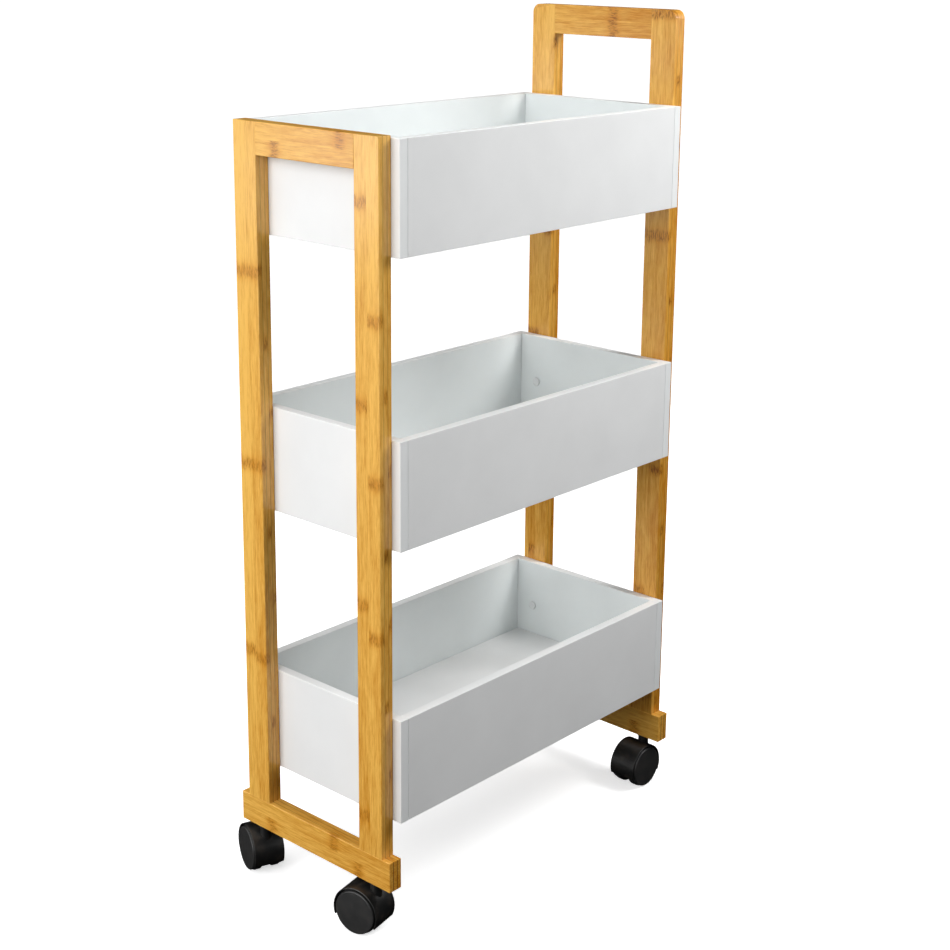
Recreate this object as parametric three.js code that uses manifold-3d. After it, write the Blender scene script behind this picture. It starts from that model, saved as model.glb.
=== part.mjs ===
// Rolling utility cart: two bamboo end frames carry three open white boxes, one above the other,
// and each frame stands on two twin-wheel casters.
// Millimetres. +Z is up, +X runs along the cart towards the frame with the handle, +Y is its left side.
import * as THREE from 'three';
import { mergeVertices } from 'three/addons/utils/BufferGeometryUtils.js';
import Module from 'manifold-3d';

const wasm = await Module();
wasm.setup();

// ---------------------------------------------------------------- driving dimensions
const FIT_GAP = 0.3; // clearance left between pieces that touch

// Bamboo bars of the end frames
const BAR_THICKNESS = 15; // along X
const BAR_WIDTH = 30;
const FRAME_WIDTH = 186; // over the outer sides of the two legs
const FRAME_SPACING = 400; // between the facing sides of the two frames
const SHORT_FRAME_TOP = 749;
const TALL_FRAME_TOP = 841;
const HANDLE_CORNER_RADIUS = 9;
const CHAMFER = 1; // on the lower corners of the foot rails

// Open boxes of white board
const BOX_WIDTH = 206; // also the length of the foot rails
const BOX_HEIGHT = 102;
const BOARD = 9.5;
const BASE_RAISE = 8; // from a box's lower edge up to its base panel
const TIERS = [
  ['lower', 117],
  ['middle', 381],
  ['top', 645],
];

// Bolts that hold the boxes to the legs
const BOLT_SPACING = 142;
const BOLT_RADIUS = 3;
const BOLT_DEPTH = 11; // into the leg
const CAP_RADIUS = 4.6;
const CAP_HEIGHT = 2.2;
const BOLT_SEGMENTS = 8;

// Casters
const FOOT_RAIL_BOTTOM = 52.5;
const CASTER_SPACING = 156;
const CASTER_TRAIL = 14; // from the swivel axis to the axle
const WHEEL_RADIUS = 22.5;
const WHEEL_WIDTH = 10;
const WHEEL_DOME = 0.9; // bulge of a wheel's outer face
const WHEEL_SEGMENTS = 24;
const WHEEL_GAP = 12.4; // between the two wheels of a caster
const HOOD_RADIUS = 24.6;
const HOOD_WALL = 1.5;
const HOOD_WIDTH = 31;
const HOOD_START = -20; // degrees, below the axle on the trailing side
const HOOD_END = 208; // degrees, below the axle on the stem's side
const HOOD_SEGMENTS = 10;
const WEB_THICKNESS = 11;
const HUB_RADIUS = 6.5;
const NECK_RADIUS = 5.6;
const NECK_TOP = 51.1;
const STEM_RADIUS = 4;
const STEM_BOTTOM = 29;
const STEM_TOP = 74;
const SOCKET_RADIUS = 5.8;
const SOCKET_TOP = 76;
const FLANGE_RADIUS = 6.8;
const FLANGE_HEIGHT = 1;
const AXLE_RADIUS = 2;
const AXLE_LENGTH = 27;
const ROUND_FIT = 0.25; // radial clearance of the shafts
const CASTERS = [
  // name, end of the cart (-1 short frame, 1 tall frame), side (1 left), heading of the trail in degrees
  ['short_left', -1, 1, 70],
  ['short_right', -1, -1, 101],
  ['tall_right', 1, -1, 180],
  ['tall_left', 1, 1, 80],
];

const FOOT_RAIL_TOP = FOOT_RAIL_BOTTOM + BAR_WIDTH;
const LEG_Y = (FRAME_WIDTH - BAR_WIDTH) / 2;
const BAR_X = (FRAME_SPACING + BAR_THICKNESS) / 2;

// ---------------------------------------------------------------- materials
const bamboo = () => new THREE.MeshStandardMaterial({ color: 0xd9a255, roughness: 0.5, metalness: 0 });
const whiteBoard = () => new THREE.MeshStandardMaterial({ color: 0xeceeee, roughness: 0.45, metalness: 0 });
const whiteCap = () => new THREE.MeshStandardMaterial({ color: 0xe6e8e8, roughness: 0.4, metalness: 0 });
const blackNylon = () => new THREE.MeshStandardMaterial({ color: 0x242424, roughness: 0.55, metalness: 0 });
const steel = () => new THREE.MeshStandardMaterial({ color: 0xa8a9ab, roughness: 0.35, metalness: 1 });

// ---------------------------------------------------------------- solids and cuts
function toSolid(geometry) {
  const bare = geometry.clone();
  bare.deleteAttribute('normal');
  bare.deleteAttribute('uv');
  const merged = mergeVertices(bare, 1e-4);
  return new wasm.Manifold(new wasm.Mesh({
    numProp: 3,
    vertProperties: new Float32Array(merged.attributes.position.array),
    triVerts: new Uint32Array(merged.index.array),
  }));
}

function toGeometry(solid) {
  const mesh = solid.getMesh();
  const geometry = new THREE.BufferGeometry();
  geometry.setAttribute('position', new THREE.BufferAttribute(new Float32Array(mesh.vertProperties), 3));
  geometry.setIndex(new THREE.BufferAttribute(new Uint32Array(mesh.triVerts), 1));
  geometry.computeVertexNormals();
  return geometry;
}

function cut(geometry, ...tools) {
  const solid = tools.reduce((rest, tool) => rest.subtract(toSolid(tool)), toSolid(geometry));
  return toGeometry(solid);
}

function join(geometry, ...others) {
  const solid = others.reduce((sum, other) => sum.add(toSolid(other)), toSolid(geometry));
  return toGeometry(solid);
}

// Box given by its low and high corners
function block(low, high) {
  const size = low.map((value, i) => high[i] - value);
  const geometry = new THREE.BoxGeometry(...size);
  geometry.translate(...low.map((value, i) => (value + high[i]) / 2));
  return geometry;
}

// Round bar along X, Y or Z between two values on that axis, centred on the other two
function rod(axis, radius, from, to, centre, segments = 16) {
  const geometry = new THREE.CylinderGeometry(radius, radius, to - from, segments);
  if (axis === 'x') geometry.rotateZ(-Math.PI / 2);
  if (axis === 'z') geometry.rotateX(Math.PI / 2);
  const place = { x: 0, y: 0, z: 0, ...centre };
  place[axis] = (from + to) / 2;
  geometry.translate(place.x, place.y, place.z);
  return geometry;
}

// Solid of revolution about Z from [radius, height] points that start and end on the axis
function turned(profile, segments) {
  const geometry = new THREE.LatheGeometry(profile.map(([r, h]) => new THREE.Vector2(r, h)), segments);
  geometry.rotateX(Math.PI / 2);
  return geometry;
}

function addPiece(group, name, geometry, material) {
  const mesh = new THREE.Mesh(geometry, material);
  mesh.name = name;
  group.add(mesh);
  return mesh;
}

const sides = [
  ['left', 1],
  ['right', -1],
];

// ---------------------------------------------------------------- end frames
// Each frame is modelled about its own middle plane; inward is the X direction of the boxes.
function boltHoles(inward, sideSign) {
  const face = (inward * BAR_THICKNESS) / 2;
  const bottom = face - inward * (BOLT_DEPTH + 1);
  const y = (sideSign * BOLT_SPACING) / 2;
  const ends = [face + inward, bottom].sort((a, b) => a - b);
  return TIERS.map(([, bottomZ]) => {
    const centre = { y, z: bottomZ + BOX_HEIGHT / 2 };
    return rod('x', BOLT_RADIUS + ROUND_FIT, ...ends, centre, BOLT_SEGMENTS);
  });
}

// Leg outline in the YZ plane; a rounded leg has its outer top corner cut to an arc
function legOutline(sideSign, top, cornerRadius) {
  const inner = LEG_Y - BAR_WIDTH / 2;
  const outer = LEG_Y + BAR_WIDTH / 2;
  const outline = new THREE.Shape();
  outline.moveTo(inner * sideSign, FOOT_RAIL_TOP + FIT_GAP);
  outline.lineTo(outer * sideSign, FOOT_RAIL_TOP + FIT_GAP);
  if (cornerRadius > 0) {
    outline.lineTo(outer * sideSign, top - cornerRadius);
    outline.absarc(
      (outer - cornerRadius) * sideSign,
      top - cornerRadius,
      cornerRadius,
      sideSign > 0 ? 0 : Math.PI,
      Math.PI / 2,
      sideSign < 0,
    );
  } else {
    outline.lineTo(outer * sideSign, top);
  }
  outline.lineTo(inner * sideSign, top);
  outline.closePath();
  return outline;
}

// Extrudes a YZ outline through a bar's thickness
function barFromOutline(outline, curveSegments = 6) {
  const geometry = new THREE.ExtrudeGeometry(outline, { depth: BAR_THICKNESS, bevelEnabled: false, curveSegments });
  geometry.translate(0, 0, -BAR_THICKNESS / 2);
  geometry.rotateX(Math.PI / 2);
  geometry.rotateZ(Math.PI / 2);
  return geometry;
}

function leg(inward, sideSign, top, cornerRadius) {
  return cut(barFromOutline(legOutline(sideSign, top, cornerRadius)), ...boltHoles(inward, sideSign));
}

function crossRail(top) {
  const halfLength = LEG_Y - BAR_WIDTH / 2 - FIT_GAP;
  const halfThickness = BAR_THICKNESS / 2;
  return block([-halfThickness, -halfLength, top - BAR_WIDTH], [halfThickness, halfLength, top]);
}

function footRail() {
  const half = BOX_WIDTH / 2;
  const outline = new THREE.Shape();
  outline.moveTo(-half + CHAMFER, FOOT_RAIL_BOTTOM);
  outline.lineTo(half - CHAMFER, FOOT_RAIL_BOTTOM);
  outline.lineTo(half, FOOT_RAIL_BOTTOM + CHAMFER);
  outline.lineTo(half, FOOT_RAIL_TOP);
  outline.lineTo(-half, FOOT_RAIL_TOP);
  outline.lineTo(-half, FOOT_RAIL_BOTTOM + CHAMFER);
  outline.closePath();
  const bores = sides.map(([, sign]) => {
    const centre = { y: (sign * CASTER_SPACING) / 2 };
    return rod('z', SOCKET_RADIUS + ROUND_FIT, FOOT_RAIL_BOTTOM - 1, SOCKET_TOP + FIT_GAP, centre);
  });
  return cut(barFromOutline(outline), ...bores);
}

function endFrame(prefix, inward, top, railName, cornerRadius) {
  const frame = new THREE.Group();
  for (const [side, sign] of sides) {
    addPiece(frame, `${prefix}_leg_${side}`, leg(inward, sign, top, cornerRadius), bamboo());
  }
  addPiece(frame, railName, crossRail(top), bamboo());
  addPiece(frame, `${prefix}_foot_rail`, footRail(), bamboo());
  frame.position.x = -inward * BAR_X;
  return frame;
}

// ---------------------------------------------------------------- boxes
// A box is modelled with its lower edge at Z = 0 and its middle on the Z axis.
const boxHalfLength = FRAME_SPACING / 2 - FIT_GAP;

function endPanel(endSign) {
  const outer = endSign * boxHalfLength;
  const [low, high] = [outer, outer - endSign * BOARD].sort((a, b) => a - b);
  const panel = block([low, -BOX_WIDTH / 2, 0], [high, BOX_WIDTH / 2, BOX_HEIGHT]);
  const holes = sides.map(([, sign]) => {
    const centre = { y: (sign * BOLT_SPACING) / 2, z: BOX_HEIGHT / 2 };
    return rod('x', BOLT_RADIUS + ROUND_FIT, low - 1, high + 1, centre, BOLT_SEGMENTS);
  });
  return cut(panel, ...holes);
}

function sidePanel(sideSign) {
  const halfLength = boxHalfLength - BOARD - FIT_GAP;
  const outer = (sideSign * BOX_WIDTH) / 2;
  const [low, high] = [outer, outer - sideSign * BOARD].sort((a, b) => a - b);
  return block([-halfLength, low, 0], [halfLength, high, BOX_HEIGHT]);
}

function basePanel() {
  const halfLength = boxHalfLength - BOARD - FIT_GAP;
  const halfWidth = BOX_WIDTH / 2 - BOARD - FIT_GAP;
  return block([-halfLength, -halfWidth, BASE_RAISE], [halfLength, halfWidth, BASE_RAISE + BOARD]);
}

// Capped bolt along X: the cap sits inside the box and the shank runs out into the leg
function cappedBolt() {
  const shankEnd = BOARD + FIT_GAP + BOLT_DEPTH;
  const bolt = turned([
    [0, -shankEnd],
    [BOLT_RADIUS, -shankEnd],
    [BOLT_RADIUS, FIT_GAP],
    [CAP_RADIUS, FIT_GAP],
    [CAP_RADIUS, CAP_HEIGHT * 0.6],
    [CAP_RADIUS * 0.6, CAP_HEIGHT],
    [0, CAP_HEIGHT],
  ], BOLT_SEGMENTS);
  bolt.rotateY(-Math.PI / 2);
  return bolt;
}

function openBox(tier, bottomZ) {
  const box = new THREE.Group();
  addPiece(box, `${tier}_box_end_panel_short`, endPanel(-1), whiteBoard());
  addPiece(box, `${tier}_box_end_panel_tall`, endPanel(1), whiteBoard());
  for (const [side, sign] of sides) {
    addPiece(box, `${tier}_box_side_panel_${side}`, sidePanel(sign), whiteBoard());
  }
  addPiece(box, `${tier}_box_base_panel`, basePanel(), whiteBoard());
  for (const [end, endSign] of [['short', -1], ['tall', 1]]) {
    for (const [side, sign] of sides) {
      const bolt = addPiece(box, `${tier}_bolt_${end}_${side}`, cappedBolt(), whiteCap());
      bolt.position.set(endSign * (boxHalfLength - BOARD), (sign * BOLT_SPACING) / 2, BOX_HEIGHT / 2);
      bolt.rotation.z = endSign < 0 ? Math.PI : 0;
    }
  }
  box.position.z = bottomZ;
  return box;
}

// ---------------------------------------------------------------- casters
// A caster is modelled with its swivel axis on Z, its trail along +X and the floor at Z = 0.
const degrees = Math.PI / 180;

// Outline in the caster's XZ plane, extruded along the axle
function alongAxle(outline, width, curveSegments) {
  const geometry = new THREE.ExtrudeGeometry(outline, { depth: width, bevelEnabled: false, curveSegments });
  geometry.rotateX(Math.PI / 2);
  geometry.translate(CASTER_TRAIL, width / 2, WHEEL_RADIUS);
  return geometry;
}

// Curved cover over both wheels
function hoodShell() {
  const outline = new THREE.Shape();
  outline.absarc(0, 0, HOOD_RADIUS, HOOD_START * degrees, HOOD_END * degrees, false);
  outline.absarc(0, 0, HOOD_RADIUS - HOOD_WALL, HOOD_END * degrees, HOOD_START * degrees, true);
  outline.closePath();
  return alongAxle(outline, HOOD_WIDTH, HOOD_SEGMENTS);
}

// Thick plate between the wheels that carries the axle and the stem
function hoodWeb() {
  const outline = new THREE.Shape();
  const radius = HOOD_RADIUS - HOOD_WALL / 2;
  outline.absarc(0, 0, radius, HOOD_START * degrees, HOOD_END * degrees, false);
  outline.absarc(0, 0, HUB_RADIUS, (HOOD_END + 30) * degrees, (HOOD_START + 330) * degrees, false);
  outline.closePath();
  return alongAxle(outline, WEB_THICKNESS, HOOD_SEGMENTS);
}

function hood() {
  const neck = rod('z', NECK_RADIUS, WHEEL_RADIUS + 12, NECK_TOP, {});
  const stemBore = rod('z', STEM_RADIUS + ROUND_FIT, STEM_BOTTOM - 1, NECK_TOP + 1, {});
  const reach = WEB_THICKNESS / 2 + 1;
  const axleBore = rod('y', AXLE_RADIUS + ROUND_FIT, -reach, reach, { x: CASTER_TRAIL, z: WHEEL_RADIUS });
  return cut(join(hoodShell(), hoodWeb(), neck), stemBore, axleBore);
}

// Hollow-backed wheel with a blind bore for the axle, turned about Z with its inner face at Z = 0
function wheel() {
  const boreRadius = AXLE_RADIUS + ROUND_FIT;
  const hubWall = 3;
  const rimWall = 3;
  const web = 3.5;
  return turned([
    [0, WHEEL_WIDTH - 1.5],
    [boreRadius, WHEEL_WIDTH - 1.5],
    [boreRadius, 0],
    [boreRadius + hubWall, 0],
    [boreRadius + hubWall, WHEEL_WIDTH - web],
    [WHEEL_RADIUS - rimWall, WHEEL_WIDTH - web],
    [WHEEL_RADIUS - rimWall, 0],
    [WHEEL_RADIUS, 0],
    [WHEEL_RADIUS, WHEEL_WIDTH - 1.2],
    [WHEEL_RADIUS - 1.2, WHEEL_WIDTH],
    [0, WHEEL_WIDTH + WHEEL_DOME],
  ], WHEEL_SEGMENTS);
}

function stem() {
  return turned([
    [0, STEM_BOTTOM],
    [STEM_RADIUS - 0.8, STEM_BOTTOM],
    [STEM_RADIUS, STEM_BOTTOM + 0.8],
    [STEM_RADIUS, STEM_TOP - 1],
    [STEM_RADIUS - 1, STEM_TOP],
    [0, STEM_TOP],
  ], 16);
}

function stemSocket() {
  const sleeve = rod('z', SOCKET_RADIUS, FOOT_RAIL_BOTTOM - 0.5, SOCKET_TOP, {});
  const flangeTop = FOOT_RAIL_BOTTOM - ROUND_FIT;
  const flange = rod('z', FLANGE_RADIUS, flangeTop - FLANGE_HEIGHT, flangeTop, {});
  const bore = rod('z', STEM_RADIUS + ROUND_FIT, FOOT_RAIL_BOTTOM - 2, STEM_TOP + FIT_GAP, {});
  return cut(join(sleeve, flange), bore);
}

function axle() {
  return rod('y', AXLE_RADIUS, -AXLE_LENGTH / 2, AXLE_LENGTH / 2, { x: CASTER_TRAIL, z: WHEEL_RADIUS });
}

function caster(name, heading) {
  const group = new THREE.Group();
  addPiece(group, `${name}_caster_stem`, stem(), steel());
  addPiece(group, `${name}_caster_socket`, stemSocket(), blackNylon());
  addPiece(group, `${name}_caster_hood`, hood(), blackNylon());
  addPiece(group, `${name}_caster_axle`, axle(), steel());
  for (const [letter, sign] of [['a', 1], ['b', -1]]) {
    const piece = addPiece(group, `${name}_caster_wheel_${letter}`, wheel(), blackNylon());
    piece.rotation.x = -sign * (Math.PI / 2);
    piece.position.set(CASTER_TRAIL, (sign * WHEEL_GAP) / 2, WHEEL_RADIUS);
  }
  group.rotation.z = heading * degrees;
  return group;
}

// ---------------------------------------------------------------- assembly
const cart = new THREE.Group();
cart.add(endFrame('short', 1, SHORT_FRAME_TOP, 'short_top_rail', 0));
cart.add(endFrame('tall', -1, TALL_FRAME_TOP, 'handle_rail', HANDLE_CORNER_RADIUS));
for (const [tier, bottomZ] of TIERS) {
  cart.add(openBox(tier, bottomZ));
}
for (const [name, endSign, sideSign, heading] of CASTERS) {
  const piece = caster(name, heading);
  piece.position.set(endSign * BAR_X, (sideSign * CASTER_SPACING) / 2, 0);
  cart.add(piece);
}

// The origin is the middle of the footprint, on the floor.
const extent = new THREE.Box3().setFromObject(cart, true);
const middle = extent.getCenter(new THREE.Vector3());
cart.position.set(-middle.x, -middle.y, -extent.min.z);

const model = new THREE.Group();
model.add(cart);

export default model;
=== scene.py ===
# Finished surfaces of the rolling utility cart, built over its CAD frame.
# Metres; +Z is up, +X runs towards the frame with the handle, +Y is the cart's left side.
import math

import bmesh
import bpy
from mathutils import Matrix, Vector


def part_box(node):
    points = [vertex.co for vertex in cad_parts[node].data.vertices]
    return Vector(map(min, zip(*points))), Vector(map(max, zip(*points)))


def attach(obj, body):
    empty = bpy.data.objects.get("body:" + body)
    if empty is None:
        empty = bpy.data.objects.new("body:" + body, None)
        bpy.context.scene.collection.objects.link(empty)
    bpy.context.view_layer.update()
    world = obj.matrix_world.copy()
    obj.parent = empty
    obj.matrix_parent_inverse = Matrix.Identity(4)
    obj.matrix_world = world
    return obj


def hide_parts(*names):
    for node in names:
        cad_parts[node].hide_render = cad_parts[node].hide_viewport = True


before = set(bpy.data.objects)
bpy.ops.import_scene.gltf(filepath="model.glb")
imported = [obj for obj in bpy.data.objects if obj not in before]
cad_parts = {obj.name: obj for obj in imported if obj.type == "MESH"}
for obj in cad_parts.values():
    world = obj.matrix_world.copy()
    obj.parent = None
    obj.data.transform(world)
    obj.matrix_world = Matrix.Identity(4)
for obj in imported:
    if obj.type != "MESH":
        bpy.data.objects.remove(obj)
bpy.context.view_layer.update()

MM = 0.001
SIDES = (("left", 1), ("right", -1))
TIERS = ("lower", "middle", "top")
CASTERS = ("short_left", "short_right", "tall_right", "tall_left")


# ---------------------------------------------------------------- colours and nodes
def srgb(text):
    """Linear colour of an sRGB hex value."""
    channels = [int(text[i:i + 2], 16) / 255 for i in (1, 3, 5)]
    return tuple(c / 12.92 if c <= 0.04045 else ((c + 0.055) / 1.055) ** 2.4 for c in channels) + (1,)


def add_node(tree, kind, settings=None, inputs=None):
    """A node of that kind with its settings; each input is a value, a socket, or a node's first output."""
    node = tree.nodes.new("ShaderNode" + kind)
    for key, value in (settings or {}).items():
        setattr(node, key, value)
    for key, value in (inputs or {}).items():
        if isinstance(value, bpy.types.Node):
            value = value.outputs[0]
        if isinstance(value, bpy.types.NodeSocket):
            tree.links.new(value, node.inputs[key])
        else:
            node.inputs[key].default_value = value
    return node


def new_material(name):
    """An empty node material, its tree, and the place on the piece as the tree sees it."""
    material = bpy.data.materials.new(name)
    material.use_nodes = True
    tree = material.node_tree
    tree.nodes.clear()
    return material, tree, add_node(tree, "TexCoord").outputs["Object"]


def calc(tree, operation, *values, clamp=False):
    """A math node; its values are numbers or other nodes."""
    return add_node(tree, "Math", {"operation": operation, "use_clamp": clamp}, dict(enumerate(values)))


def blend(tree, share, base, over):
    """The base colour, going over to the other one as the share goes from 0 to 1."""
    return add_node(tree, "Mix", {"data_type": "RGBA"}, {0: share, 6: base, 7: over}).outputs[2]


def ramp(tree, value, start, end, at_start, at_end, soft=False):
    """Goes from at_start to at_end while the value goes from start to end, with soft ends if asked."""
    return add_node(tree, "MapRange", {"interpolation_type": "SMOOTHSTEP" if soft else "LINEAR"}, {
        "Value": value, "From Min": start, "From Max": end, "To Min": at_start, "To Max": at_end})


def even_noise(tree, place, size, detail, roughness=0.5):
    """Noise whose patches are about that many millimetres wide every way."""
    return add_node(tree, "TexNoise", inputs={
        "Vector": place, "Scale": 1 / (size * MM), "Detail": detail, "Roughness": roughness})


def drawn_noise(tree, place, width, length, detail, roughness=0.5):
    """Noise whose patches are that many millimetres wide, and that long along Z."""
    scale = (1 / (width * MM), 1 / (width * MM), 1 / (length * MM))
    run = add_node(tree, "Mapping", inputs={"Vector": place, "Scale": scale})
    return add_node(tree, "TexNoise", inputs={
        "Vector": run, "Scale": 1.0, "Detail": detail, "Roughness": roughness})


def bumps(tree, strength, depth, height):
    """Relief that is about that many millimetres deep."""
    return add_node(tree, "Bump", inputs={"Strength": strength, "Distance": depth * MM, "Height": height})


def surface(tree, inputs):
    """Ends a material with its shader."""
    shader = add_node(tree, "BsdfPrincipled", inputs=inputs)
    add_node(tree, "OutputMaterial", inputs={"Surface": shader})


# ---------------------------------------------------------------- finishes
LAYER = 5  # thickness of one bamboo layer, three to a bar, in millimetres
SCAR_STEP = 67  # how much further along each layer carries its scars
SCAR_WOBBLE = 9  # how far a scar's line wanders across a strip


def laminated_bamboo(name, centre, half_length, turned_rail, knots, shade, scarring):
    """Carbonised laminated bamboo under satin lacquer: two strips wide and three layers deep, each strip
    a little lighter or darker than the next, long fibres, and brown scars where the culm had its nodes.
    knots lists, for the strip on the low and on the high side, where along the bar its scars lie (mm).
    shade makes the whole bar lighter or darker, and every bar is darker towards its low end: painted shade
    for the light that falls off lower down.
    scarring says how dark its scars are, from 0 to 1."""
    material, tree, place = new_material(name)
    # The bar's own axes: X through its thickness, Y across it, Z along it
    quarter = math.radians(90) if turned_rail else 0
    bar = add_node(tree, "Mapping", inputs={
        "Vector": place, "Location": -(Matrix.Rotation(quarter, 3, "X") @ Vector(centre)),
        "Rotation": (quarter, 0, 0)})
    through, across, along = add_node(tree, "SeparateXYZ", inputs={"Vector": bar}).outputs

    # Which of the 2 x 3 strips a point is in; the bar's place makes its strips differ from the next bar's
    layer = calc(tree, "ROUND", calc(tree, "MULTIPLY", through, 1 / (LAYER * MM)))
    side = calc(tree, "GREATER_THAN", across, 0.0)
    strip = add_node(tree, "CombineXYZ", inputs={"X": layer, "Y": side, "Z": centre[0] * 7 + centre[1] * 13})
    strip_tone = add_node(tree, "TexWhiteNoise", inputs={"Vector": strip})

    # Every strip has its own stretch of grain, and its fibres sway a little
    sway = drawn_noise(tree, bar, 14, 28, 1.0)
    grain = add_node(tree, "VectorMath", {"operation": "MULTIPLY_ADD"}, {
        0: strip, 1: (0.011, 0.023, 0.0), 2: bar})
    grain = add_node(tree, "VectorMath", {"operation": "MULTIPLY_ADD"}, {
        0: sway.outputs["Color"], 1: (2.6 * MM, 2.6 * MM, 0.0), 2: grain})
    # Fibres are about 0.5 mm wide; they are drawn at 1.2 mm, and their bundles at 2.2 mm, so that they show
    bundles = drawn_noise(tree, grain, 2.2, 50, 5.0, 0.7)
    fibres = drawn_noise(tree, grain, 1.2, 14, 3.0, 0.7)
    cloud = drawn_noise(tree, grain, 12, 70, 2.0)
    tone = calc(tree, "MULTIPLY_ADD", bundles, 1.9, shade - 1.32)
    tone = calc(tree, "MULTIPLY_ADD", strip_tone, 0.3, tone)
    tone = calc(tree, "MULTIPLY_ADD", cloud, 0.45, tone)
    # Painted shade: the bar darkens towards its low end, standing in for the light falling off lower down
    tone = calc(tree, "MULTIPLY_ADD", along, 0.14 / half_length, tone)
    # Painted light: the layer towards the short end, the side the left-hand lamps light, is lighter, and each
    # one behind it is darker
    tone = calc(tree, "MULTIPLY_ADD", layer, -0.12, tone)
    tone = calc(tree, "MULTIPLY_ADD", fibres, 1.3, tone, clamp=True)
    wood = blend(tree, tone, srgb("#C0780E"), srgb("#F0BC5A"))

    # Distance to the nearest scar of the strip
    wobble = drawn_noise(tree, grain, 4, math.inf, 1.0)
    level = calc(tree, "MULTIPLY_ADD", layer, SCAR_STEP * MM, along)
    level = calc(tree, "MULTIPLY_ADD", wobble, SCAR_WOBBLE * MM, level)
    nearest = []
    for places in knots:
        distance = 1.0
        for at in places:
            gap = calc(tree, "SUBTRACT", level, (at + SCAR_WOBBLE / 2 - SCAR_STEP) * MM)
            distance = calc(tree, "MINIMUM", calc(tree, "ABSOLUTE", gap), distance)
        nearest.append(distance)
    distance = add_node(tree, "Mix", {"data_type": "FLOAT"}, {0: side, 2: nearest[0], 3: nearest[1]})
    core = ramp(tree, distance, 2.5 * MM, 8 * MM, 1.0, 0.0, soft=True)
    halo = ramp(tree, distance, 0.0, 14 * MM, 0.5, 0.0, soft=True)
    # Cut bundle ends inside a scar: short dark dashes along the grain
    dashes = drawn_noise(tree, grain, 1.1, 6, 2.0, 0.65)
    dashes = ramp(tree, dashes, 0.45, 0.6, 0.1, scarring, soft=True)
    scar = calc(tree, "MULTIPLY", core, dashes)
    wood = blend(tree, halo, wood, srgb("#CC8214"))
    wood = blend(tree, scar, wood, srgb("#8C5004"))

    # Dark glue lines between the layers, faint on the narrow sides and plain on the sawn ends
    reach = calc(tree, "ABSOLUTE", along)
    plain = ramp(tree, reach, half_length - 0.6 * MM, half_length - 0.4 * MM, 0.3, 0.85)
    off_line = calc(tree, "ABSOLUTE", calc(tree, "SUBTRACT", calc(tree, "ABSOLUTE", through), LAYER / 2 * MM))
    line = ramp(tree, off_line, 0.2 * MM, 0.8 * MM, 1.0, 0.0, soft=True)
    wood = blend(tree, calc(tree, "MULTIPLY", line, plain), wood, srgb("#6A3A0C"))

    surface(tree, {
        "Base Color": wood, "Roughness": ramp(tree, bundles, 0.3, 0.7, 0.36, 0.48),
        "Normal": bumps(tree, 0.1, 0.1, calc(tree, "MULTIPLY_ADD", scar, -0.3, fibres)),
        "IOR": 1.5, "Specular IOR Level": 0.25, "Coat Weight": 0.7, "Coat Roughness": 0.2, "Coat IOR": 1.48})
    return material


def faced_board(name, colour, shaded, roughness):
    """Melamine-faced board: a pressed white film with a faint pebble that breaks up the highlight."""
    material, tree, place = new_material(name)
    cloud = even_noise(tree, place, 70, 3.0)
    # The pebble is about 0.4 mm wide; it is drawn at 1.2 mm so that it shows
    pebble = even_noise(tree, place, 1.2, 2.0)
    surface(tree, {
        "Base Color": blend(tree, ramp(tree, cloud, 0.3, 0.7, 0.0, 1.0), srgb(shaded), srgb(colour)),
        "Roughness": ramp(tree, cloud, 0.3, 0.7, roughness + 0.05, roughness - 0.05),
        "Normal": bumps(tree, 0.1, 0.05, pebble), "IOR": 1.5})
    return material


def moulded_nylon(name, colour, dusty, roughness):
    """Black glass-filled nylon from the mould: a fine spark-eroded grain, dull sheen and a trace of dust."""
    material, tree, place = new_material(name)
    grain = even_noise(tree, place, 0.7, 2.0, 0.6)
    patches = even_noise(tree, place, 9, 3.0, 0.6)
    dust = ramp(tree, patches, 0.45, 0.75, 0.0, 0.5, soft=True)
    surface(tree, {
        "Base Color": blend(tree, dust, srgb(colour), srgb(dusty)),
        "Roughness": ramp(tree, patches, 0.3, 0.7, roughness - 0.05, roughness + 0.08),
        "Normal": bumps(tree, 0.25, 0.06, grain), "IOR": 1.53})
    return material


def zinc_plated_steel(name):
    """Turned steel, zinc plated: fine rings round the shaft, a soft bluish grey shine."""
    material, tree, place = new_material(name)
    rings = drawn_noise(tree, place, 5, 0.4, 2.0)
    surface(tree, {
        "Base Color": blend(tree, rings, srgb("#8F9296"), srgb("#BFC2C5")), "Metallic": 1.0,
        "Roughness": ramp(tree, rings, 0.3, 0.7, 0.26, 0.42), "Normal": bumps(tree, 0.15, 0.03, rings)})
    return material


# ---------------------------------------------------------------- shaping
SHARP = math.radians(38)  # edges that turn by more than this get eased


def ease(bm, radius, segments=3, chosen=None):
    """Rounds the sharp edges, or the ones of them that are chosen, to that radius in millimetres."""
    edges = [e for e in bm.edges if e.is_manifold and e.calc_face_angle(0) > SHARP]
    if chosen is not None:
        edges = [e for e in edges if chosen(e)]
    bmesh.ops.bevel(bm, geom=edges, offset=radius * MM, offset_type="OFFSET", segments=segments,
                    profile=0.5, affect="EDGES", material=-1, clamp_overlap=True)


def runs_along(axis):
    """Picks the edges that run along an axis (0, 1 or 2)."""
    def test(edge):
        run = (edge.verts[1].co - edge.verts[0].co).normalized()
        return abs(run[axis]) > 0.999
    return test


def solid_box(low, high):
    """A box between two corners, ready to be eased."""
    bm = bmesh.new()
    bmesh.ops.create_cube(bm, size=1.0)
    bmesh.ops.scale(bm, vec=Vector(high) - Vector(low), verts=bm.verts)
    bmesh.ops.translate(bm, vec=(Vector(low) + Vector(high)) / 2, verts=bm.verts)
    return bm


def ring(inside, outside, low, high):
    """The outline of a plain ring in millimetres."""
    return [(inside, low), (outside, low), (outside, high), (inside, high)]


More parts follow.
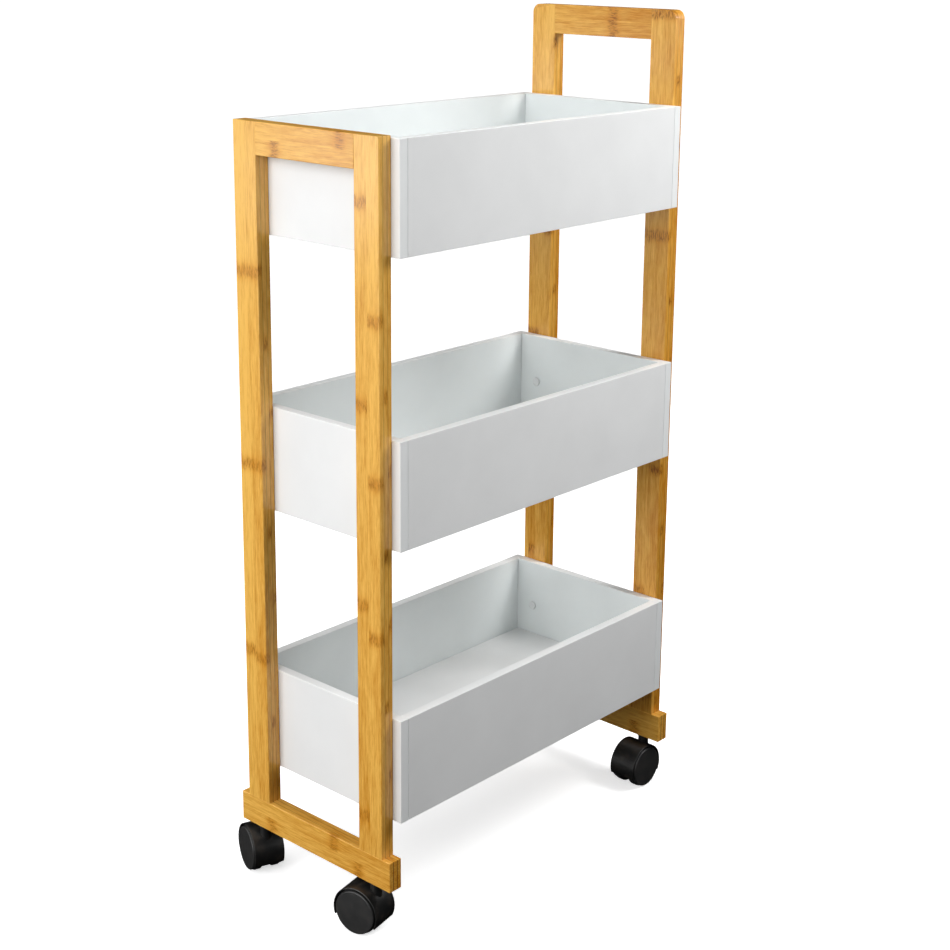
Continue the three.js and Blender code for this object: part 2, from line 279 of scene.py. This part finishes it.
def turned(profile, steps, sweep=math.tau):
    """Spins an outline of (radius, height) points in millimetres about Z, all the way round or part of it."""
    bm = bmesh.new()
    points = [bm.verts.new((radius * MM, 0, height * MM)) for radius, height in profile]
    on_axis = profile[0][0] == 0 and profile[-1][0] == 0
    pairs = list(zip(points, points[1:])) + ([] if on_axis else [(points[-1], points[0])])
    outline = points + [bm.edges.new(pair) for pair in pairs]
    full = sweep >= math.tau
    if not full:
        outline.append(bm.faces.new(points))
    bmesh.ops.spin(bm, geom=outline, cent=(0, 0, 0), axis=(0, 0, 1), dvec=(0, 0, 0), angle=sweep,
                   steps=steps, use_merge=full, use_duplicate=False)
    bmesh.ops.remove_doubles(bm, verts=bm.verts, dist=1e-6)
    bmesh.ops.recalc_face_normals(bm, faces=bm.faces)
    return bm


def move(bm, matrix):
    """Moves a shape by a matrix."""
    bmesh.ops.transform(bm, matrix=matrix, verts=bm.verts)


def finished(name, parts, materials, body, nodes, faces_to=None):
    """Makes one piece of closed shapes, in place, with its body and the nodes it stands for."""
    whole = bmesh.new()
    for part in parts:
        spare = bpy.data.meshes.new("spare")
        part.to_mesh(spare)
        part.free()
        whole.from_mesh(spare)
        bpy.data.meshes.remove(spare)
    for face in whole.faces:
        face.smooth = True
        if faces_to is not None:
            face.material_index = faces_to(face)
    mesh = bpy.data.meshes.new(name)
    whole.to_mesh(mesh)
    whole.free()
    for material in materials:
        mesh.materials.append(material)
    mesh.set_sharp_from_angle(angle=math.radians(40))
    piece = bpy.data.objects.new(name, mesh)
    bpy.context.scene.collection.objects.link(piece)
    flats = piece.modifiers.new("flat_faces", "WEIGHTED_NORMAL")
    flats.keep_sharp = True
    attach(piece, body)
    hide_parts(*nodes)


# ---------------------------------------------------------------- bamboo end frames
# Scars along each bar in millimetres from its middle: strip on the low side, strip on the high side.
BARS = {
    "short_leg_right": ((-117.0, 29.0, 174.0), (-295.0, -88.0, 98.0, 276.0)),
    "short_leg_left": ((-182.0, 12.0, 196.0), (-176.0, 12.0, 196.0)),
    "tall_leg_right": ((-296.0, -100.0, 151.0, 376.0), (-240.0, -20.0, 151.0, 376.0)),
    "tall_leg_left": ((-250.0, -60.0, 140.0, 339.0), (-230.0, -45.0, 150.0, 339.0)),
    "short_top_rail": ((38.0,), (-46.0,)),
    "handle_rail": ((-14.0,), (-14.0,)),
    "short_foot_rail": ((60.0, -61.0), (-28.0,)),
    "tall_foot_rail": ((40.0, -70.0), (-12.0, 84.0)),
}
# How light each kind of bar is, and how dark its scars are
TONES = {
    "short_leg": (0.0, 0.6), "short_top": (-0.1, 0.75), "short_foot": (-0.12, 0.6),
    "tall_leg": (-0.3, 0.95), "handle": (-0.33, 0.9), "tall_foot": (0.0, 0.7)}
BODY = "cart_frame"
FITTING_GAP = 0.25  # left in the CAD between two bars, in millimetres
TOP_CORNER = 9  # radius of the tall legs' outer top corners
LONG_EDGE, FOOT_END, HIDDEN_END = 0.6, 0.5, 0.15  # how far the bars' edges are eased


def top_outer_corner(middle_z, middle_y, outer):
    """Picks the edge over a leg's outer top corner."""
    def test(edge):
        return runs_along(0)(edge) and all(
            v.co.z > middle_z and (v.co.y - middle_y) * outer > 0 for v in edge.verts)
    return test


for bar, scars in BARS.items():
    low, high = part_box(bar)
    middle = (low + high) / 2
    is_leg = "_leg_" in bar
    length = 2 if is_leg else 1
    # The glued joints are closed: a bar runs on through the fitting gap to the next one
    low[length] -= FITTING_GAP * MM
    if not is_leg:
        high[length] += FITTING_GAP * MM
    shape = solid_box(low, high)
    if bar.startswith("tall_leg"):
        outer = 1 if bar.endswith("left") else -1
        ease(shape, TOP_CORNER, 10, top_outer_corner(middle.z, middle.y, outer))
    ease(shape, LONG_EDGE, 3, runs_along(length))
    ease(shape, FOOT_END if "foot" in bar else HIDDEN_END, 2)
    # A rail's width runs down Z, so after its quarter turn the low side is the upper strip
    strips = scars if is_leg else (scars[1], scars[0])
    shade, scarring = next(tones for start, tones in TONES.items() if bar.startswith(start))
    half = (high - low)[length] / 2
    material = laminated_bamboo(f"laminated_bamboo_{bar}", middle, half, not is_leg, strips, shade, scarring)
    finished(f"{bar}_bar", [shape], [material], BODY, [bar])


# ---------------------------------------------------------------- white boxes
outer_film = faced_board("melamine_board_outer", "#EFF0F0", "#E9EAEA", 0.42)
# Painted shade: the film on the boards' inner faces is a little darker and cooler than the outer one, for the
# shade inside the boxes
inner_film_painted_shade = faced_board("melamine_board_inner_painted_shade", "#E9EEEE", "#E3E8E8", 0.46)
# Real edge banding, painted a little lighter than the faces: painted highlight along the edges
edge_film_and_highlight = faced_board("melamine_edge_band_and_highlight", "#F3F5F5", "#EEF0F0", 0.38)
BOARD_FILMS = [outer_film, inner_film_painted_shade, edge_film_and_highlight]
BOARD_EDGE = 0.5  # how far a board's edges are eased, in millimetres


def box_panel(node, thin, outward):
    """One board of a box, thin along that axis: film on its two faces and banding round its edge."""
    shape = solid_box(*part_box(node))
    ease(shape, BOARD_EDGE)

    def film(face):
        facing = face.normal[thin]
        if abs(facing) < 0.9:
            return BOARD_FILMS.index(edge_film_and_highlight)
        outer = facing * outward > 0 or thin == 2
        # Inner faces take the film with the painted shade
        return BOARD_FILMS.index(outer_film if outer else inner_film_painted_shade)

    finished(f"{node}_board", [shape], BOARD_FILMS, BODY, [node], film)


for tier in TIERS:
    box_panel(f"{tier}_box_end_panel_short", 0, -1)
    box_panel(f"{tier}_box_end_panel_tall", 0, 1)
    for side, sign in SIDES:
        box_panel(f"{tier}_box_side_panel_{side}", 1, sign)
    box_panel(f"{tier}_box_base_panel", 2, -1)


# ---------------------------------------------------------------- bolts with snap caps
cap_paint = faced_board("glossy_cap_enamel", "#E8EAEA", "#DCDFDF", 0.28)
plated_steel = zinc_plated_steel("zinc_plated_steel")
# A bolt in millimetres: radius, and height over the board that its cap lies on
SHANK_RADIUS, TIP_CHAMFER = 3.0, (0.4, 0.6)
CAP_RADIUS, CAP_EDGE, CAP_SHOULDER, CAP_HEIGHT = 4.6, 0.3, 1.3, 2.2


def bolt_outline(tip):
    """Half a bolt's section: chamfered tip, shank, and the cap with its round shoulder."""
    shank = [(0, tip), (SHANK_RADIUS - TIP_CHAMFER[0], tip), (SHANK_RADIUS, tip + TIP_CHAMFER[1]),
             (SHANK_RADIUS, CAP_EDGE), (CAP_RADIUS, CAP_EDGE)]
    shoulder = [(CAP_RADIUS, CAP_SHOULDER), (4.4, 1.75), (3.9, 2.05), (SHANK_RADIUS, 2.18)]
    return shank + shoulder + [(0, CAP_HEIGHT)]


for tier in TIERS:
    for end, outward in (("short", -1), ("tall", 1)):
        for side, sign in SIDES:
            node = f"{tier}_bolt_{end}_{side}"
            low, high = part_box(node)
            seat_x = (high.x if outward < 0 else low.x) + outward * CAP_HEIGHT * MM
            seat = Vector((seat_x, (low.y + high.y) / 2, (low.z + high.z) / 2))
            bolt = turned(bolt_outline(CAP_HEIGHT - (high.x - low.x) / MM), 32)
            move(bolt, Matrix.Translation(seat) @ Matrix.Rotation(math.radians(-90 * outward), 4, "Y"))
            finished(f"{node}_capped", [bolt], [cap_paint, plated_steel], BODY, [node],
                     lambda face: 0 if (face.calc_center_median().x - seat.x) * outward < 0.1 * MM else 1)


# ---------------------------------------------------------------- casters
hood_nylon = moulded_nylon("moulded_nylon_hood", "#161616", "#3A322B", 0.42)
wheel_nylon = moulded_nylon("moulded_nylon_wheel", "#2B2B2B", "#353230", 0.4)
socket_nylon = moulded_nylon("moulded_nylon_socket", "#1C1C1C", "#2A2725", 0.5)

# Round the stem, in millimetres: radius of each part
STEM_RADIUS, GROOVE_RADIUS = 4, 3.5
NECK_BORE, NECK_RADIUS, NECK_LOW = 4.3, 5.6, 33
SLEEVE_BORE, SLEEVE_RADIUS, FLANGE_RADIUS, FLANGE_HEIGHT, SLEEVE_ROOM = 4.25, 5.8, 6.8, 1, 0.3

# Round the axle, in millimetres: radius of each part, and its half width along the axle
AXLE_RADIUS, AXLE_HALF, AXLE_CHAMFER = 2.0, 13.5, 0.4
HOOD_INSIDE, HOOD_RADIUS, HOOD_HALF = 23.1, 24.6, 15.5
AXLE_BORE, WEB_RADIUS, WEB_HALF = 2.3, 23.6, 5.5
BOSS_RADIUS, BOSS_HALF = 6.5, 5.9
WHEEL_OFFSET = 6.2
# A wheel's section: radius, and width measured from its inner side
HUB_BORE, HUB_RADIUS, RIM_INSIDE, TREAD_RADIUS, DISC_RADIUS = 2.25, 5.25, 19.5, 22.5, 21.5
HOLLOW, BORE_END, TREAD_END, FACE_EDGE, FACE_MIDDLE = 6.5, 8.5, 5.6, 10.2, 10.9

# About the axle from the trail's direction: the hood runs from below it, up and over to the stem's side
HOOD_START, HOOD_END = math.radians(20), math.radians(-208)
HOOD_SWEEP = HOOD_START - HOOD_END


def wheel_outline():
    """Half a wheel's section: hub, hollow back, tread with its shoulder, and the domed face."""
    back = [(0, BORE_END), (HUB_BORE, BORE_END), (HUB_BORE, 0), (HUB_RADIUS, 0), (HUB_RADIUS, HOLLOW),
            (RIM_INSIDE, HOLLOW), (RIM_INSIDE, 0)]
    tread = [(TREAD_RADIUS - 0.5, 0), (TREAD_RADIUS, 0.5), (TREAD_RADIUS, TREAD_END),
             (TREAD_RADIUS - 0.3, TREAD_END + 0.6), (DISC_RADIUS + 0.1, HOLLOW)]
    rim = [(DISC_RADIUS, 9.2), (21.35, 9.7), (21.0, 10.05), (20.5, FACE_EDGE)]
    dome = [(20.0, 10.22), (14.0, 10.55), (8.0, 10.8), (3.0, FACE_MIDDLE), (0, FACE_MIDDLE)]
    return back + tread + rim + dome


def axle_outline():
    """Half the axle's section, with chamfered ends."""
    end, neck = AXLE_HALF - AXLE_CHAMFER, AXLE_RADIUS - AXLE_CHAMFER
    return [(0, -AXLE_HALF), (neck, -AXLE_HALF), (AXLE_RADIUS, -end), (AXLE_RADIUS, end), (neck, AXLE_HALF),
            (0, AXLE_HALF)]


def stem_outline(low, high):
    """Half the stem's section: chamfered ends, and the groove that snaps into the sleeve."""
    groove_low, groove_high = high - 8, high - 4
    return [(0, low), (STEM_RADIUS - 0.8, low), (STEM_RADIUS, low + 0.8), (STEM_RADIUS, groove_low),
            (GROOVE_RADIUS, groove_low + 0.6), (GROOVE_RADIUS, groove_high - 0.6), (STEM_RADIUS, groove_high),
            (STEM_RADIUS, high - 1), (STEM_RADIUS - 1, high), (0, high)]


def sleeve_outline(low, high, bore_end):
    """Half the socket's section: a closed sleeve with a flange under the rail."""
    return [(SLEEVE_BORE, low), (FLANGE_RADIUS, low), (FLANGE_RADIUS, low + FLANGE_HEIGHT),
            (SLEEVE_RADIUS, low + FLANGE_HEIGHT), (SLEEVE_RADIUS, high), (0, high), (0, bore_end),
            (SLEEVE_BORE, bore_end)]


for name in CASTERS:
    prefix = f"{name}_caster"
    stem_low, stem_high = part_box(f"{prefix}_stem")
    axle_low, axle_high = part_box(f"{prefix}_axle")
    socket_low, socket_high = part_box(f"{prefix}_socket")
    neck_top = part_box(f"{prefix}_hood")[1].z / MM
    swivel, hub = (stem_low + stem_high) / 2, (axle_low + axle_high) / 2
    heading = math.atan2(hub.y - swivel.y, hub.x - swivel.x)
    trail = math.hypot(hub.y - swivel.y, hub.x - swivel.x)
    stand = Matrix.Translation((swivel.x, swivel.y, 0)) @ Matrix.Rotation(heading, 4, "Z")
    # The axle's own frame: Z along the axle towards wheel a, X along the trail
    on_axle = stand @ Matrix.Translation((trail, 0, hub.z)) @ Matrix.Rotation(math.radians(-90), 4, "X")

    cover = turned(ring(HOOD_INSIDE, HOOD_RADIUS, -HOOD_HALF, HOOD_HALF), 60, HOOD_SWEEP)
    ease(cover, 0.7)
    web = turned(ring(AXLE_BORE, WEB_RADIUS, -WEB_HALF, WEB_HALF), 50, HOOD_SWEEP)
    ease(web, 0.6, 2)
    boss = turned(ring(AXLE_BORE, BOSS_RADIUS, -BOSS_HALF, BOSS_HALF), 40)
    ease(boss, 0.4, 2)
    for part in (cover, web):
        move(part, on_axle @ Matrix.Rotation(HOOD_END, 4, "Z"))
    move(boss, on_axle)
    neck = turned(ring(NECK_BORE, NECK_RADIUS, NECK_LOW, neck_top), 40)
    ease(neck, 0.4, 2, lambda e: all(v.co.z > (neck_top - 1) * MM for v in e.verts))
    move(neck, stand)
    finished(f"{prefix}_hood_cover", [cover, web, boss, neck], [hood_nylon], prefix,
             [f"{prefix}_hood"])

    for letter, facing in (("a", 0), ("b", math.pi)):
        node = f"{prefix}_wheel_{letter}"
        wheel = turned(wheel_outline(), 72)
        outwards = Matrix.Rotation(facing, 4, "X") @ Matrix.Translation((0, 0, WHEEL_OFFSET * MM))
        move(wheel, on_axle @ outwards)
        finished(f"{node}_disc", [wheel], [wheel_nylon], f"{name}_wheel_{letter}", [node])

    axle = turned(axle_outline(), 24)
    move(axle, on_axle)
    finished(f"{prefix}_axle_pin", [axle], [plated_steel], prefix, [f"{prefix}_axle"])
    stem = turned(stem_outline(stem_low.z / MM, stem_high.z / MM), 32)
    move(stem, stand)
    finished(f"{prefix}_stem_pin", [stem], [plated_steel], BODY, [f"{prefix}_stem"])
    bore_end = stem_high.z / MM + SLEEVE_ROOM
    socket = turned(sleeve_outline(socket_low.z / MM, socket_high.z / MM, bore_end), 40)
    move(socket, stand)
    finished(f"{prefix}_socket_sleeve", [socket], [socket_nylon], BODY, [f"{prefix}_socket"])


# ---------------------------------------------------------------- floor, light and camera
WHITE = srgb("#FFFFFF")
FLOOR_HALF = 60
FLOOR_LEVEL = -0.3 * MM  # just below the wheels, so that they don't share a plane with it


def studio_floor():
    """A seamless pale floor."""
    material, tree, place = new_material("studio_floor")
    cloud = add_node(tree, "TexNoise", inputs={"Vector": place, "Scale": 1.5, "Detail": 2.0})
    surface(tree, {
        "Base Color": blend(tree, cloud, srgb("#F3F3F3"), srgb("#F8F8F8")), "Roughness": 0.9,
        "Specular IOR Level": 0.2, "Emission Color": WHITE, "Emission Strength": 0.6})
    bm = bmesh.new()
    bmesh.ops.create_grid(bm, x_segments=2, y_segments=2, size=FLOOR_HALF)
    bmesh.ops.translate(bm, vec=(0, 0, FLOOR_LEVEL), verts=bm.verts)
    mesh = bpy.data.meshes.new("studio_floor")
    bm.to_mesh(mesh)
    bm.free()
    mesh.materials.append(material)
    floor = bpy.data.objects.new("studio_floor", mesh)
    bpy.context.scene.collection.objects.link(floor)
    # The floor glows a little to stay pale far away, and that glow is kept off the object
    floor.visible_diffuse = False
    floor.visible_glossy = False


def soft_light(name, place, target, size, power):
    """A white square softbox that faces a target."""
    light = bpy.data.lights.new(name, "AREA")
    light.shape = "SQUARE"
    light.size = size
    light.energy = power
    lamp = bpy.data.objects.new(name, light)
    lamp.location = place
    lamp.rotation_mode = "QUATERNION"
    lamp.rotation_quaternion = (Vector(target) - Vector(place)).to_track_quat("-Z", "Y")
    bpy.context.scene.collection.objects.link(lamp)


def sun_light(name, direction, strength, spread):
    """A broad, even white light from far away that shines along a direction."""
    light = bpy.data.lights.new(name, "SUN")
    light.energy = strength
    light.angle = math.radians(spread)
    lamp = bpy.data.objects.new(name, light)
    lamp.rotation_mode = "QUATERNION"
    lamp.rotation_quaternion = Vector(direction).to_track_quat("-Z", "Y")
    bpy.context.scene.collection.objects.link(lamp)


studio_floor()
soft_light("fill_right_front", (0.7, -0.9, 1.25), (0.1, 0, 0.7), 0.5, 9.2)
soft_light("fill_right_high", (0.6, -0.75, 1.5), (0.15, -0.1, 0.75), 0.4, 4.3)
soft_light("fill_right_near", (0.8, -0.6, 0.95), (0.2, -0.1, 0.75), 0.4, 0.6)
soft_light("fill_front_low", (0.0, -1.4, 0.55), (0, 0, 0.5), 0.6, 2.6)
soft_light("key_left_front", (-1.7, -0.7, 1.3), (-0.2, 0, 0.5), 1.2, 11.2)
soft_light("key_left_low", (-1.6, 0.4, 0.4), (-0.2, 0, 0.3), 0.8, 8.1)
soft_light("key_left_back", (-1.6, 0.9, 1.7), (0, 0, 0.6), 1.2, 4.0)
soft_light("gloss_left_back", (-1.8, 1.6, 0.45), (-0.2, 0, 0.6), 0.36, 2.2)
soft_light("broad_left", (-1.9, 0.0, 0.8), (-0.2, 0, 0.5), 1.6, 5.5)
soft_light("left_high", (-1.4, -0.2, 1.5), (-0.2, 0, 0.6), 1.0, 3.9)
sun_light("broad_top", (0.0, 0.0, -1.0), 1.0, 50)
sun_light("broad_back", (0.1, -1.0, -1.2), 0.87, 40)
sun_light("low_left", (1.0, 0.0, -0.27), 0.44, 40)

world = bpy.data.worlds.new("studio_air")
bpy.context.scene.world = world
world.use_nodes = True
world.node_tree.nodes["Background"].inputs["Color"].default_value = WHITE
# The pale backdrop is only seen: the lamps alone light the object
world.cycles_visibility.diffuse = False
world.cycles_visibility.glossy = False

camera_data = bpy.data.cameras.new("camera")
camera = bpy.data.objects.new("camera", camera_data)
bpy.context.scene.collection.objects.link(camera)
CAMERA_PLACE = (-1.2208, -1.1225, 0.9180)
yaw, pitch, roll = (math.radians(a) for a in (48.60, 13.86, 0.68))
forward = Vector((math.sin(yaw) * math.cos(pitch), math.cos(yaw) * math.cos(pitch), -math.sin(pitch)))
level = Vector((math.cos(yaw), -math.sin(yaw), 0))
upright = level.cross(forward)
right = level * math.cos(roll) + upright * math.sin(roll)
up = upright * math.cos(roll) - level * math.sin(roll)
camera_turn = Matrix((right, up, -forward)).transposed().to_4x4()
camera.matrix_world = Matrix.Translation(CAMERA_PLACE) @ camera_turn
camera_data.sensor_width = 36
camera_data.lens = 65.31
camera_data.shift_x = -0.0232
camera_data.shift_y = -0.1280
camera_data.clip_start, camera_data.clip_end = 0.05, 200
bpy.context.scene.camera = camera
bpy.context.scene.view_settings.view_transform = "Standard"
